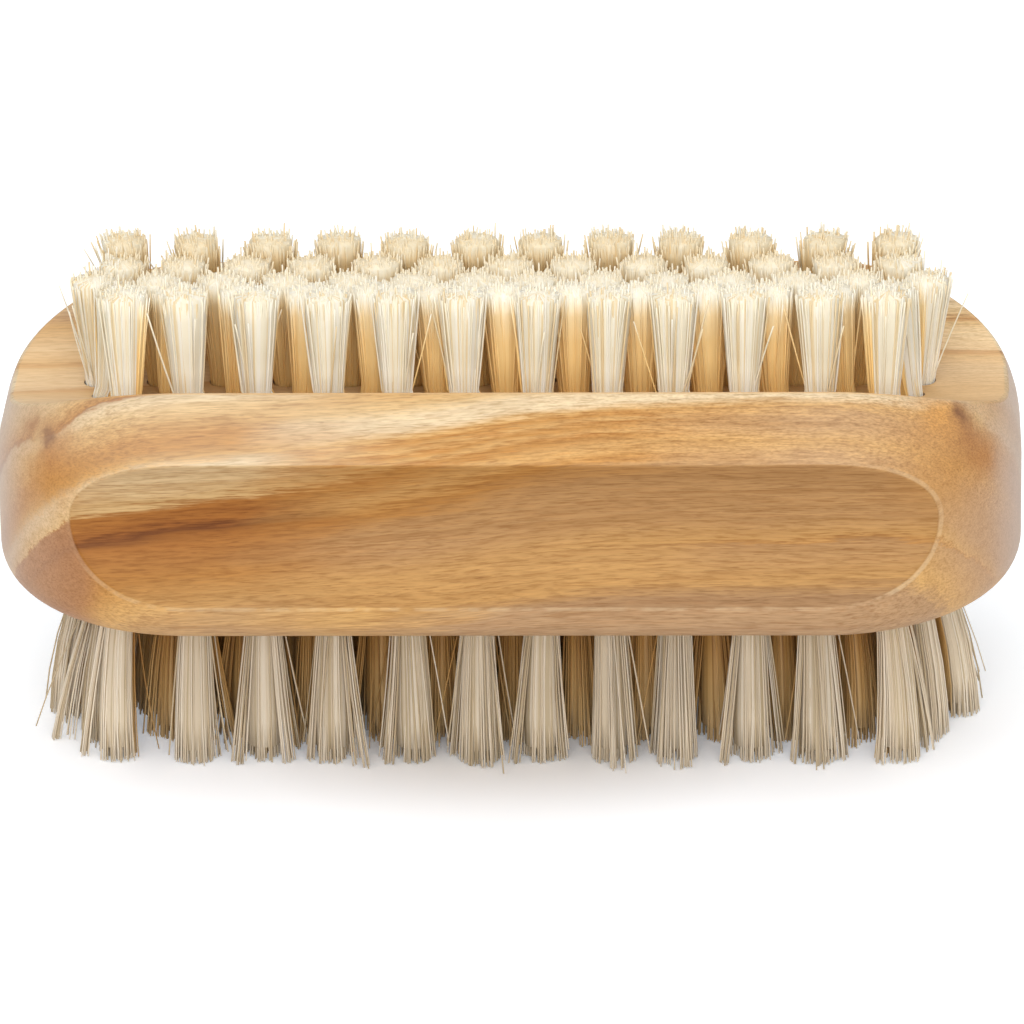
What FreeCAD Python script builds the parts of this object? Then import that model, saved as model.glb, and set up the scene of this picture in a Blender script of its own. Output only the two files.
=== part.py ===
import FreeCAD, Part
import os

import Sketcher

# A two-sided nail brush: a wooden block with bristle tufts set in holes on its top and its underside.
# Each tuft is a bundle of bristles folded in two round a flat metal anchor at the foot of its hole.
# Millimetres. X runs along the block, +Z is up, and z = 0 is the surface that the lower bristles stand on.
# The rows are numbered from the front, which is the side towards -Y.

SIZES = {
    # Block: a slab with rounded ends and shoulders, a hollow along its top and another along its underside.
    "block_length": 95.0,
    "block_depth": 44.0,
    "end_flat": 7.0,
    "core_thickness": 15.8,
    "underside_drop": 1.7,
    "grip_rise": 10.0,
    "shoulder_radius": 14.0,
    "lower_edge_radius": 4.0,
    "top_hollow_radius": 26.0,
    "under_hollow_radius": 100.0,
    "groove_radius": 9.8,
    "groove_depth": 3.3,
    "rim_softening": 0.5,
    "groove_softening": 0.3,
    # Rows of tufts, the same on both sides. A margin is from the block's end to the middle of the end tuft.
    "row_spacing": 4.3,
    "outer_row_margin": 12.55,
    "inner_row_margin": 10.45,
    "middle_row_margin": 9.4,
    "outer_row_tufts": 12,
    "inner_row_tufts": 13,
    "middle_row_tufts": 14,
    # Holes and tufts. The bristle lengths are the middle row's, from the hollow's deepest line.
    "hole_diameter": 3.0,
    "hole_depth": 6.0,
    "drill_overrun": 3.0,
    "bristle_clearance": 0.05,
    "straight_length": 1.0,
    "tip_diameter": 4.2,
    "upper_bristle_length": 10.3,
    "lower_bristle_length": 18.0,
    "inner_row_rise": 0.3,
    "outer_row_rise": 1.2,
    # Anchors: flat strips across the fold of each tuft, with both ends in the wood.
    "anchor_thickness": 0.35,
    "anchor_width": 1.6,
    "anchor_bite": 0.35,
    "anchor_clearance": 0.03,
    "fold_thickness": 0.8,
}

# Levels shared by the block, the tufts and the anchors.
UNDER_HOLLOW = "sizes.lower_bristle_length"
TOP_HOLLOW = f"({UNDER_HOLLOW} + sizes.core_thickness)"
GRIP_LEVEL = f"({UNDER_HOLLOW} + sizes.grip_rise)"
SLAB_BOTTOM = f"({UNDER_HOLLOW} - sizes.underside_drop)"
SLAB_HEIGHT = f"({GRIP_LEVEL} + sizes.shoulder_radius - {SLAB_BOTTOM})"

# An anchor's full length, and the room round it in its slots.
ANCHOR_LENGTH = "(sizes.hole_diameter + 2 * sizes.anchor_bite)"
ANCHOR_ROOM = "2 * sizes.anchor_clearance"

# Each row: its number, its place in steps from the middle row, and its kind.
ROWS = [(1, -2, "outer"), (2, -1, "inner"), (3, 0, "middle"), (4, 1, "inner"), (5, 2, "outer")]
SIDES = ("upper", "lower")

doc = FreeCAD.newDocument("nail_brush")


def fill_sheet():
    """Writes the driving sizes into the sheet, one aliased cell each."""
    sheet = doc.addObject("Spreadsheet::Sheet", "sizes")
    for line, (alias, value) in enumerate(SIZES.items(), start=1):
        sheet.set(f"A{line}", alias)
        sheet.set(f"B{line}", str(value))
        sheet.setAlias(f"B{line}", alias)
    doc.recompute()


def new_body(name):
    body = doc.addObject("PartDesign::Body", name)
    body.Label = name
    body.AllowCompound = True
    return body


def origin_feature(body, role):
    return next(item for item in body.Origin.OriginFeatures if item.Role == role)


def new_sketch(body, name, role, **offsets):
    """A sketch on one of the body's origin planes, moved by expressions along the sketch's own axes."""
    sketch = body.newObject("Sketcher::SketchObject", name)
    sketch.AttachmentSupport = [(origin_feature(body, role), "")]
    sketch.MapMode = "FlatFace"
    for axis, expression in offsets.items():
        sketch.setExpression(f"AttachmentOffset.Base.{axis}", expression)
    return sketch


def bind(sketch, name, expression, *constraint):
    """Adds a dimension to a sketch and ties it to an expression."""
    index = sketch.addConstraint(Sketcher.Constraint(*constraint))
    sketch.renameConstraint(index, name)
    sketch.setExpression(f"Constraints.{name}", expression)


TOLERANCE = 1e-4
ORIGIN, VERTICAL_AXIS = -1, -2
START, END, CENTRE = 1, 2, 3


def add_circle(sketch, radius, name="circle", x=None, y=None):
    """A circle; a centre coordinate left out is zero."""
    start_place = FreeCAD.Vector(1.0 if x else 0.0, 1.0 if y else 0.0, 0.0)
    circle = sketch.addGeometry(Part.Circle(start_place, FreeCAD.Vector(0, 0, 1), 1.0))
    bind(sketch, f"{name}_radius", radius, "Radius", circle, 1.0)
    if x:
        bind(sketch, f"{name}_x", x, "DistanceX", ORIGIN, START, circle, CENTRE, 1.0)
    if y:
        bind(sketch, f"{name}_y", y, "DistanceY", ORIGIN, START, circle, CENTRE, 1.0)
    if not x and y:
        sketch.addConstraint(Sketcher.Constraint("PointOnObject", circle, CENTRE, VERTICAL_AXIS))
    if not x and not y:
        sketch.addConstraint(Sketcher.Constraint("Coincident", circle, CENTRE, ORIGIN, START))


def add_polygon(sketch, points):
    """Closed straight lines through start points; returns the lines' numbers."""
    vectors = [FreeCAD.Vector(x, y, 0) for x, y in points]
    lines = [
        sketch.addGeometry(Part.LineSegment(vectors[i], vectors[(i + 1) % len(vectors)]))
        for i in range(len(vectors))
    ]
    for i, line in enumerate(lines):
        following = lines[(i + 1) % len(lines)]
        sketch.addConstraint(Sketcher.Constraint("Coincident", line, END, following, START))
    return lines


def add_rectangle(sketch, width, height):
    """A rectangle centred on the sketch's origin."""
    bottom, right, top, left = add_polygon(sketch, [(-1, -1), (1, -1), (1, 1), (-1, 1)])
    for line in (bottom, top):
        sketch.addConstraint(Sketcher.Constraint("Horizontal", line))
    for line in (right, left):
        sketch.addConstraint(Sketcher.Constraint("Vertical", line))
    sketch.addConstraint(Sketcher.Constraint("Symmetric", bottom, START, top, START, ORIGIN, START))
    bind(sketch, "width", width, "DistanceX", bottom, START, bottom, END, 2.0)
    bind(sketch, "height", height, "DistanceY", right, START, right, END, 2.0)


def add_feature(body, kind, name, sketch, length=None, reverse=False, symmetric=False):
    """A pad or pocket of a sketch. A pocket with no length goes right through."""
    feature = body.newObject(f"PartDesign::{kind}", name)
    feature.Profile = sketch
    feature.Reversed = reverse
    if symmetric:
        feature.SideType = "Symmetric"
    if length:
        feature.setExpression("Length", length)
    else:
        feature.Type = "ThroughAll"
    return feature


def add_pattern(body, name, originals, kind):
    """Repeats features along a row of tufts."""
    pattern = body.newObject("PartDesign::LinearPattern", name)
    pattern.Originals = originals
    pattern.Direction = (origin_feature(body, "X_Axis"), [""])
    pattern.setExpression("Length", row_reach(kind))
    pattern.setExpression("Occurrences", f"sizes.{kind}_row_tufts")
    body.Tip = pattern


def add_fillet(body, name, base, radius, wanted):
    """Rounds the edges of a feature that the test accepts."""
    doc.recompute()
    edges = [f"Edge{i}" for i, edge in enumerate(base.Shape.Edges, start=1) if wanted(edge)]
    fillet = body.newObject("PartDesign::Fillet", name)
    fillet.Base = (base, edges)
    fillet.setExpression("Radius", radius)
    return fillet


def row_place(step):
    return f"({step} * sizes.row_spacing)"


def row_reach(kind):
    """Distance between a row's end tufts."""
    return f"(sizes.block_length - 2 * sizes.{kind}_row_margin)"


def row_start(kind):
    return f"(-{row_reach(kind)} / 2)"


def outward(side):
    """The direction in which a side's bristles point."""
    return 1 if side == "upper" else -1


def mouth_level(side, step):
    """Level of the hollow's surface on the line of a row."""
    hollow, radius = (TOP_HOLLOW, "sizes.top_hollow_radius")
    if side == "lower":
        hollow, radius = (UNDER_HOLLOW, "sizes.under_hollow_radius")
    rise = f"({radius} - sqrt({radius} * {radius} - {row_place(step)} * {row_place(step)}))"
    return f"({hollow} + {outward(side)} * {rise})"


def hole_foot(side, step):
    return f"({mouth_level(side, step)} - {outward(side)} * sizes.hole_depth)"


def anchor_level(side, step):
    """Level of the middle of an anchor's width."""
    return f"({hole_foot(side, step)} + {outward(side)} * (sizes.fold_thickness + sizes.anchor_width / 2))"


def tip_level(side, kind):
    """The lower tips all meet the ground; the upper ones are trimmed to a shallow hollow."""
    if side == "lower":
        return "0"
    rise = "" if kind == "middle" else f" + sizes.{kind}_row_rise"
    return f"({TOP_HOLLOW} + sizes.upper_bristle_length{rise})"


def is_upright(edge):
    return edge.BoundBox.XLength < TOLERANCE and edge.BoundBox.YLength < TOLERANCE


def round_face_edges(feature, radius):
    """A test that accepts the edges round a feature's cylindrical faces of one radius."""
    doc.recompute()
    hashes = {
        edge.hashCode()
        for face in feature.Shape.Faces
        if face.Surface.TypeId == "Part::GeomCylinder" and abs(face.Surface.Radius - radius) < TOLERANCE
        for edge in face.Edges
    }
    return lambda edge: edge.hashCode() in hashes


def build_slab():
    """The block before drilling: rounded all round, hollowed on both faces and grooved on both long sides."""
    body = new_body("undrilled_block")
    plan = new_sketch(body, "plan", "XY_Plane", z=SLAB_BOTTOM)
    add_rectangle(plan, "sizes.block_length", "sizes.block_depth")
    slab = add_feature(body, "Pad", "slab", plan, length=SLAB_HEIGHT)
    ends = add_fillet(body, "rounded_ends", slab, "(sizes.block_depth - sizes.end_flat) / 2", is_upright)
    doc.recompute()
    top, bottom = ends.Shape.BoundBox.ZMax, ends.Shape.BoundBox.ZMin
    shoulders = add_fillet(body, "shoulders", ends, "sizes.shoulder_radius",
                           lambda edge: edge.BoundBox.ZMin > top - TOLERANCE)
    add_fillet(body, "lower_edge", shoulders, "sizes.lower_edge_radius",
               lambda edge: edge.BoundBox.ZMax < bottom + TOLERANCE)

    top_round = new_sketch(body, "top_round", "YZ_Plane")
    add_circle(top_round, "sizes.top_hollow_radius", y=f"{TOP_HOLLOW} + sizes.top_hollow_radius")
    add_feature(body, "Pocket", "top_hollow", top_round, symmetric=True)
    under_round = new_sketch(body, "under_round", "YZ_Plane")
    add_circle(under_round, "sizes.under_hollow_radius", y=f"{UNDER_HOLLOW} - sizes.under_hollow_radius")
    hollowed = add_feature(body, "Pocket", "under_hollow", under_round, symmetric=True)
    top_rim = add_fillet(body, "top_rim", hollowed, "sizes.rim_softening",
                         round_face_edges(hollowed, SIZES["top_hollow_radius"]))
    add_fillet(body, "under_rim", top_rim, "sizes.rim_softening",
               round_face_edges(top_rim, SIZES["under_hollow_radius"]))

    groove_rounds = new_sketch(body, "groove_rounds", "YZ_Plane")
    groove_place = "(sizes.block_depth / 2 - sizes.groove_depth + sizes.groove_radius)"
    for name, sign in (("front", "-"), ("back", "")):
        add_circle(groove_rounds, "sizes.groove_radius", name, x=f"{sign}{groove_place}", y=GRIP_LEVEL)
    grooved = add_feature(body, "Pocket", "finger_grooves", groove_rounds, symmetric=True)
    add_fillet(body, "groove_edges", grooved, "sizes.groove_softening",
               round_face_edges(grooved, SIZES["groove_radius"]))
    return body


def build_drills(side, number, step, kind):
    """What one row of holes takes out of the wood: a round for each tuft and its anchor's slot."""
    name = f"{side}_row_{number}"
    body = new_body(f"{name}_drills")
    circle = new_sketch(body, f"{name}_circle", "XY_Plane",
                        x=row_start(kind), y=row_place(step), z=hole_foot(side, step))
    add_circle(circle, "sizes.hole_diameter / 2")
    drill = add_feature(body, "Pad", f"{name}_drill", circle, reverse=outward(side) < 0,
                        length="sizes.hole_depth + sizes.drill_overrun")
    strip = new_sketch(body, f"{name}_strip", "XY_Plane",
                       x=row_start(kind), y=row_place(step), z=anchor_level(side, step))
    add_rectangle(strip, f"{ANCHOR_LENGTH} + {ANCHOR_ROOM}", f"sizes.anchor_thickness + {ANCHOR_ROOM}")
    slot = add_feature(body, "Pad", f"{name}_slot", strip, symmetric=True,
                       length=f"sizes.anchor_width + {ANCHOR_ROOM}")
    add_pattern(body, f"{name}_holes", [drill, slot], kind)
    return body


def build_block():
    """The shaped slab with every hole taken out in one cut."""
    drills = doc.addObject("Part::Compound", "drills")
    drills.Links = [build_drills(side, *row) for side in SIDES for row in ROWS]
    block = doc.addObject("Part::Cut", "wood_block")
    block.Label = "wood_block"
    block.Base = build_slab()
    block.Tool = drills
    return block


def build_tufts(side, number, step, kind):
    """One row of bristle bundles, straight in the hole, spreading to the tip and folded round an anchor."""
    body = new_body(f"{side}_tufts_row_{number}")
    name = f"{side}_tuft_{number}"
    half = new_sketch(body, f"{name}_half", "XZ_Plane", x=row_start(kind), z=f"-{row_place(step)}")
    foot, tip = hole_foot(side, step), tip_level(side, kind)
    neck = f"{mouth_level(side, step)} + {outward(side)} * sizes.straight_length"
    neck_radius = "sizes.hole_diameter / 2 - sizes.bristle_clearance"
    tip_radius = "sizes.tip_diameter / 2"
    away = outward(side)
    # Rough start points, which the dimensions below move to their places.
    axis_line, foot_line, straight_line, _, tip_line = add_polygon(
        half, [(0, 3 * away), (0, 0), (1, 0), (1, away), (2, 3 * away)])
    half.addConstraint(Sketcher.Constraint("PointOnObject", axis_line, START, VERTICAL_AXIS))
    half.addConstraint(Sketcher.Constraint("PointOnObject", axis_line, END, VERTICAL_AXIS))
    half.addConstraint(Sketcher.Constraint("Horizontal", foot_line))
    half.addConstraint(Sketcher.Constraint("Vertical", straight_line))
    half.addConstraint(Sketcher.Constraint("Horizontal", tip_line))
    bind(half, "neck_radius", neck_radius, "DistanceX", ORIGIN, START, foot_line, END, 1.0)
    bind(half, "tip_radius", tip_radius, "DistanceX", ORIGIN, START, tip_line, START, 2.0)
    bind(half, "foot", foot, "DistanceY", ORIGIN, START, foot_line, START, 1.0)
    bind(half, "neck", neck, "DistanceY", ORIGIN, START, straight_line, END, 1.0)
    bind(half, "tip", tip, "DistanceY", ORIGIN, START, tip_line, START, 1.0)
    bundle = body.newObject("PartDesign::Revolution", f"{name}_bundle")
    bundle.Profile = half
    bundle.ReferenceAxis = (half, ["V_Axis"])
    strip = new_sketch(body, f"{name}_strip", "YZ_Plane",
                       x=row_place(step), y=anchor_level(side, step), z=row_start(kind))
    add_rectangle(strip, f"sizes.anchor_thickness + {ANCHOR_ROOM}", f"sizes.anchor_width + {ANCHOR_ROOM}")
    fold = add_feature(body, "Pocket", f"{name}_fold", strip, symmetric=True, length="sizes.hole_diameter")
    add_pattern(body, f"{name}_row", [bundle, fold], kind)
    return body


def build_anchors(side, number, step, kind):
    """One row of flat anchors, each longer than its hole is wide."""
    body = new_body(f"{side}_anchors_row_{number}")
    name = f"{side}_anchor_{number}"
    section = new_sketch(body, f"{name}_section", "YZ_Plane",
                         x=row_place(step), y=anchor_level(side, step), z=row_start(kind))
    add_rectangle(section, "sizes.anchor_thickness", "sizes.anchor_width")
    strip = add_feature(body, "Pad", f"{name}_strip", section, symmetric=True, length=ANCHOR_LENGTH)
    add_pattern(body, f"{name}_row", [strip], kind)
    return body


def check_model(pieces):
    """Stops with a message if anything failed to rebuild."""
    for item in doc.Objects:
        if "Invalid" in item.State or "Error" in item.State:
            raise RuntimeError(f"{item.Name} failed: {item.State}")
    for piece in pieces:
        if piece.Shape.isNull() or not piece.Shape.isValid():
            raise RuntimeError(f"{piece.Label} has no valid shape")


def write_parts(pieces):
    os.makedirs("parts", exist_ok=True)
    for piece in pieces:
        piece.Shape.exportStep(f"parts/{piece.Label}.step")
        print(piece.Label, len(piece.Shape.Solids), round(piece.Shape.Volume, 2))


fill_sheet()
pieces = [build_block()]
for side in SIDES:
    for row in ROWS:
        pieces.append(build_tufts(side, *row))
        pieces.append(build_anchors(side, *row))
doc.recompute()
check_model(pieces)
write_parts(pieces)
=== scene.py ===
import math
from dataclasses import dataclass
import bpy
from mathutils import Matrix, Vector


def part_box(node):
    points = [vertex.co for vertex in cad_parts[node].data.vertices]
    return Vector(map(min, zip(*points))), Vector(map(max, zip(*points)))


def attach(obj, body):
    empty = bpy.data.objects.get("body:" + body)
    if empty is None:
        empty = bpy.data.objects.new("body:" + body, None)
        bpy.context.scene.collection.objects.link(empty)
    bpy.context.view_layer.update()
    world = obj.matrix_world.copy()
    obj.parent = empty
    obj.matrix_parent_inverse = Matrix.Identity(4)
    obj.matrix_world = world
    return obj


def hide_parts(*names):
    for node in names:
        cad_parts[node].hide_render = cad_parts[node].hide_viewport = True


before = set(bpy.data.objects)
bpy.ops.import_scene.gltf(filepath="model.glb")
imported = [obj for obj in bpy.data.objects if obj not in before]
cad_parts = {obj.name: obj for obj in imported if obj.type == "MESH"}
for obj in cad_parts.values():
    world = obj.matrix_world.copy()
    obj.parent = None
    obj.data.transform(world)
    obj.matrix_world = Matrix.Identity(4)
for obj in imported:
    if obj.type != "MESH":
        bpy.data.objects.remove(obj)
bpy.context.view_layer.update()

from types import SimpleNamespace

import bpy
import numpy as np
from mathutils import Matrix, Vector

MM = 0.001

# Camera, read off the photograph: the aim point, its pixel, and how the camera stands to it.
PICTURE = 1024
AIM = Vector((0.0, 0.0, 25.65)) * MM
AIM_PIXEL = (510.6, 461.5)
EYE_DISTANCE = 0.8
EYE_ELEVATION = math.radians(23.0)
EYE_AZIMUTH = math.radians(2.3)
EYE_ROLL = math.radians(1.0)
PIXELS_PER_METRE = 10720.0
SENSOR = 36.0
NEAREST_SEEN = 0.01
FARTHEST_SEEN = 50.0

# Rows of tufts, numbered from the front. Counts and millimetres are the CAD model's.
ROWS = (1, 2, 3, 4, 5)
TUFTS = {1: 12, 2: 13, 3: 14, 4: 13, 5: 12}
OUTER_ROW_Y = 8.6
HOLE_DEPTH = 6.0
TIP_RADIUS_CAD = 2.1


def srgb(red, green, blue):
    """A colour given as it looks on screen, 0 to 255, as linear light."""
    def one(value):
        share = value / 255
        return share / 12.92 if share <= 0.04045 else ((share + 0.055) / 1.055) ** 2.4
    return (one(red), one(green), one(blue), 1.0)


class Graph:
    """A material's nodes, with short calls for the kinds used here."""

    def __init__(self, name):
        self.material = bpy.data.materials.new(name)
        self.material.use_nodes = True
        self.tree = self.material.node_tree
        self.tree.nodes.clear()

    def add(self, kind, **settings):
        node = self.tree.nodes.new(kind)
        for key, value in settings.items():
            setattr(node, key, value)
        return node

    def feed(self, socket, value):
        if isinstance(value, bpy.types.NodeSocket):
            self.tree.links.new(value, socket)
        else:
            socket.default_value = value

    def math(self, operation, first, second=0.0):
        node = self.add("ShaderNodeMath", operation=operation)
        self.feed(node.inputs[0], first)
        self.feed(node.inputs[1], second)
        return node.outputs[0]

    def total(self, *terms):
        result = terms[0]
        for term in terms[1:]:
            result = self.math("ADD", result, term)
        return result

    def product(self, *terms):
        result = terms[0]
        for term in terms[1:]:
            result = self.math("MULTIPLY", result, term)
        return result

    def inverse(self, value):
        return self.math("SUBTRACT", 1.0, value)

    def swing(self, noise, width):
        """A noise value turned into a swing to both sides of zero."""
        return self.product(self.math("SUBTRACT", noise, 0.5), width)

    def vector(self, operation, first, second=None, scale=1.0):
        node = self.add("ShaderNodeVectorMath", operation=operation)
        self.feed(node.inputs[0], first)
        if second is not None:
            self.feed(node.inputs[1], second)
        node.inputs[3].default_value = scale
        return node.outputs[1 if operation == "DISTANCE" else 0]

    def blob(self, place, centre, radius):
        """1 at the centre, falling off softly with the distance."""
        away = self.math("POWER", self.vector("DISTANCE", place, centre), 2.0)
        return self.math("EXPONENT", self.product(away, -1 / radius ** 2))

    def fade(self, value, start, end):
        """0 before start, 1 after end, with a smooth step between. Start may lie above end."""
        node = self.add("ShaderNodeMapRange", interpolation_type="SMOOTHSTEP")
        self.feed(node.inputs["Value"], value)
        node.inputs["From Min"].default_value = min(start, end)
        node.inputs["From Max"].default_value = max(start, end)
        node.inputs["To Min"].default_value = 0.0 if start < end else 1.0
        node.inputs["To Max"].default_value = 1.0 if start < end else 0.0
        return node.outputs["Result"]

    def band(self, value, centre, half_width, soft):
        """1 within half_width of the centre, fading to 0 over soft."""
        away = self.math("ABSOLUTE", self.math("SUBTRACT", value, centre))
        return self.fade(away, half_width + soft, half_width)

    def remap(self, value, low, high, new_low, new_high):
        """A value moved from one span to another, and kept inside it."""
        node = self.add("ShaderNodeMapRange", clamp=True)
        self.feed(node.inputs["Value"], value)
        node.inputs["From Min"].default_value = low
        node.inputs["From Max"].default_value = high
        node.inputs["To Min"].default_value = new_low
        node.inputs["To Max"].default_value = new_high
        return node.outputs["Result"]

    def mix(self, share, first, second, blend="MIX"):
        node = self.add("ShaderNodeMix", data_type="RGBA", blend_type=blend)
        self.feed(node.inputs[0], share)
        self.feed(node.inputs[6], first)
        self.feed(node.inputs[7], second)
        return node.outputs[2]

    def times(self, first, second):
        """Two colours multiplied."""
        return self.mix(1.0, first, second, "MULTIPLY")

    def combine(self, x, y, z):
        node = self.add("ShaderNodeCombineXYZ")
        for socket, value in zip(node.inputs, (x, y, z)):
            self.feed(socket, value)
        return node.outputs[0]

    def split(self, vector):
        node = self.add("ShaderNodeSeparateXYZ")
        self.feed(node.inputs[0], vector)
        return node.outputs[0], node.outputs[1], node.outputs[2]

    def noise_node(self, vector, scale, detail, roughness):
        node = self.add("ShaderNodeTexNoise", noise_dimensions="3D")
        self.feed(node.inputs["Vector"], vector)
        node.inputs["Scale"].default_value = scale
        node.inputs["Detail"].default_value = detail
        node.inputs["Roughness"].default_value = roughness
        return node

    def noise(self, vector, scale, detail=2.0, roughness=0.5):
        return self.noise_node(vector, scale, detail, roughness).outputs[0]

    def warp(self, place, scale, width):
        """A place pushed about by a soft noise."""
        noise = self.noise_node(place, scale, 2.0, 0.5).outputs[1]
        push = self.vector("SUBTRACT", noise, (0.5, 0.5, 0.5))
        return self.vector("ADD", place, self.vector("SCALE", push, scale=width))

    def ramp(self, value, stops):
        node = self.add("ShaderNodeValToRGB")
        elements = node.color_ramp.elements
        while len(elements) < len(stops):
            elements.new(1.0)
        for element, (place, colour) in zip(elements, stops):
            element.position = place
            element.color = (*colour[:3], 1.0)
        self.feed(node.inputs[0], value)
        return node.outputs[0]

    def tinted(self, colour, value, low, high):
        """A colour multiplied by one tint where the value is low and by another where it is high."""
        return self.times(colour, self.ramp(value, [low, (0.5, WHITE), high]))

    def curve(self, value, low, high, points, new_low, new_high):
        """A smooth curve through points given in the units of value and of the result."""
        share = self.remap(value, low, high, 0.0, 1.0)
        node = self.add("ShaderNodeFloatCurve")
        line = node.mapping.curves[0]
        while len(line.points) < len(points):
            line.points.new(0.5, 0.5)
        for spot, (place, result) in zip(line.points, points):
            spot.location = ((place - low) / (high - low), (result - new_low) / (new_high - new_low))
        node.mapping.update()
        self.feed(node.inputs["Value"], share)
        return self.remap(node.outputs[0], 0.0, 1.0, new_low, new_high)

    def surface(self, **sockets):
        """The shader itself. Plain numbers stay on its own sockets."""
        shader = self.add("ShaderNodeBsdfPrincipled")
        for key, value in sockets.items():
            self.feed(shader.inputs[key.replace("_", " ")], value)
        output = self.add("ShaderNodeOutputMaterial")
        self.tree.links.new(shader.outputs[0], output.inputs["Surface"])
        return self.material

    def bump(self, height, strength, distance):
        node = self.add("ShaderNodeBump")
        node.inputs["Strength"].default_value = strength
        node.inputs["Distance"].default_value = distance
        self.feed(node.inputs["Height"], height)
        return node.outputs[0]


WHITE = (1.0, 1.0, 1.0)

# Colours of the wood, as they look on screen.
LIGHT = (250, 222, 178)
CREAM = (236, 207, 166)
PALE = (230, 190, 134)
HONEY = (218, 168, 104)
TAN = (203, 156, 104)
ORANGE = (226, 160, 78)
AMBER = (200, 141, 72)
RUST = (190, 124, 56)
BROWN = (168, 103, 42)
DARK = (124, 69, 26)
UMBER = (174, 122, 84)
# The next four are painted light and shade: shade on the bottom lip, a rosy and a pale sheen on the ends, and
# warm light on what faces up.
BOTTOM_SHADE = (190, 149, 108)
ROSE_SHEEN = (207, 167, 136)
END_SHEEN = (216, 194, 182)
TOP_LIGHT = (255, 206, 147)

# Tints of the wood, which multiply its colour: all of it, and the groove, where the darker tint is painted
# shade. The upward-tilted lip is mixed towards a pale painted sheen.
OILED = (0.87, 0.905, 0.93, 1.0)
GROOVE_SHADE = (0.78, 0.73, 0.65, 1.0)
LIP_SHEEN = (0.82, 0.82, 0.76, 1.0)

# Growth layers by level: the height in millimetres less the climb, plus LAYER_DIP times the depth.
# The lowest stops of each set are no growth layers but painted shade on the bottom lip, which faces down.
LEFT_LAYERS = [
    (-12.0, BOTTOM_SHADE), (-4.0, BOTTOM_SHADE), (0.0, HONEY), (3.5, AMBER), (8.2, RUST), (9.0, DARK), (9.6, BROWN),
    (11.3, RUST), (11.9, PALE), (14.2, CREAM), (15.3, HONEY), (16.6, AMBER), (18.2, AMBER), (19.6, HONEY),
    (22.0, PALE), (24.2, CREAM), (24.75, BROWN), (25.3, AMBER), (26.8, HONEY)]
MIDDLE_LAYERS = [
    (-12.0, BOTTOM_SHADE), (-6.0, BOTTOM_SHADE), (-4.0, HONEY), (1.0, HONEY), (3.5, TAN), (6.5, TAN), (8.2, AMBER),
    (9.6, HONEY), (11.0, AMBER), (11.8, HONEY), (12.6, AMBER), (13.4, HONEY), (14.3, AMBER), (15.2, HONEY),
    (16.2, CREAM), (18.0, CREAM), (19.4, PALE), (22.0, HONEY), (24.0, PALE)]
RIGHT_LAYERS = [
    (-12.0, BOTTOM_SHADE), (-6.0, BOTTOM_SHADE), (-4.0, HONEY), (0.4, TAN), (0.7, AMBER), (1.0, HONEY), (3.0, TAN),
    (6.0, TAN), (8.0, TAN), (10.0, HONEY), (12.0, TAN), (14.0, TAN), (15.4, HONEY), (17.0, CREAM),
    (19.0, PALE), (21.0, HONEY), (24.0, PALE)]
DEEP_LAYERS = [
    (28.0, PALE), (33.0, CREAM), (35.6, PALE), (36.2, RUST), (36.8, CREAM), (40.0, LIGHT), (42.2, PALE),
    (42.7, RUST), (43.3, PALE), (46.0, CREAM), (50.0, HONEY), (52.0, TAN), (58.0, CREAM)]
LOWEST_LAYER = -16.0
HIGHEST_LAYER = 60.0
LAYER_DIP = 1.1
LEFT_TO_MIDDLE = (-26.0, -10.0)
MIDDLE_TO_RIGHT = (10.0, 24.0)

# How far the layers climb along the block, and the share of it that the fibres follow.
CLIMB = [
    (-50.0, -5.5), (-38.0, -4.2), (-16.0, -1.2), (-5.0, 0.8), (2.0, 2.6), (11.0, 3.9), (25.0, 4.1),
    (50.0, 4.3)]
CLIMB_PLACES = (-50.0, 50.0)
CLIMB_HEIGHTS = (-6.0, 6.0)
FIBRE_CLIMB = 0.4

# Where the grain curls round the two upper front corners: centre, radius and how far it bends the layers.
CURLS = (
    ((-41.4, -14.8, 34.9), 3.4, 2.2),
    ((41.4, -13.4, 36.2), 3.0, -2.2))

# Knots and stains at the same corners: centre, radius, colour and strength. A soft noise frays them.
STAINS = (
    ((-40.8, -16.7, 32.4), 3.8, AMBER, 0.85),
    ((-41.2, -15.8, 33.2), 2.4, RUST, 0.65),
    ((-42.6, -13.6, 33.8), 1.1, PALE, 0.5),
    ((-41.5, -14.8, 34.4), 0.9, DARK, 0.75),
    ((-43.2, -12.2, 34.7), 1.2, BROWN, 0.6),
    ((38.5, -17.0, 33.5), 4.5, AMBER, 0.4),
    ((41.1, -15.6, 33.4), 4.4, AMBER, 0.8),
    ((42.4, -13.9, 34.4), 2.2, BROWN, 0.7),
    ((44.0, -13.6, 32.0), 1.9, RUST, 0.7),
    ((39.9, -14.8, 36.4), 2.0, ORANGE, 0.85),
    ((43.3, -12.2, 34.9), 1.1, PALE, 0.65),
    ((41.7, -13.3, 36.0), 0.9, DARK, 0.85))
STAIN_NOISE_SCALE = 0.6
STAIN_NOISE_WIDTH = 2.2

# The grip grooves are lengths of one round bar on each side, as in the CAD model.
GROOVE_RADIUS = 9.8
GROOVE_AXIS_Y = 28.5
GROOVE_AXIS_Z = 28.0
GROOVE_FADE = (GROOVE_RADIUS + 0.2, GROOVE_RADIUS + 0.04)
GROOVE_EDGE = GROOVE_RADIUS + 0.26
GROOVE_EDGE_HALF = 0.08
GROOVE_EDGE_SOFT = 0.14

# Noises that push the layers about: scale per millimetre and width in millimetres.
LONG_SQUEEZE = 0.25
SWAY_SCALE = 0.09
SWAY_WIDTH = 2.4
RIPPLE_SCALE = 0.5
RIPPLE_DETAIL = 3.0
RIPPLE_WIDTH = 1.0
WANDER_SCALE = 0.3
WANDER_WIDTH = 18.0
BROAD_FEATHER = 2.2
FIBRE_FEATHER = 1.0

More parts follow.
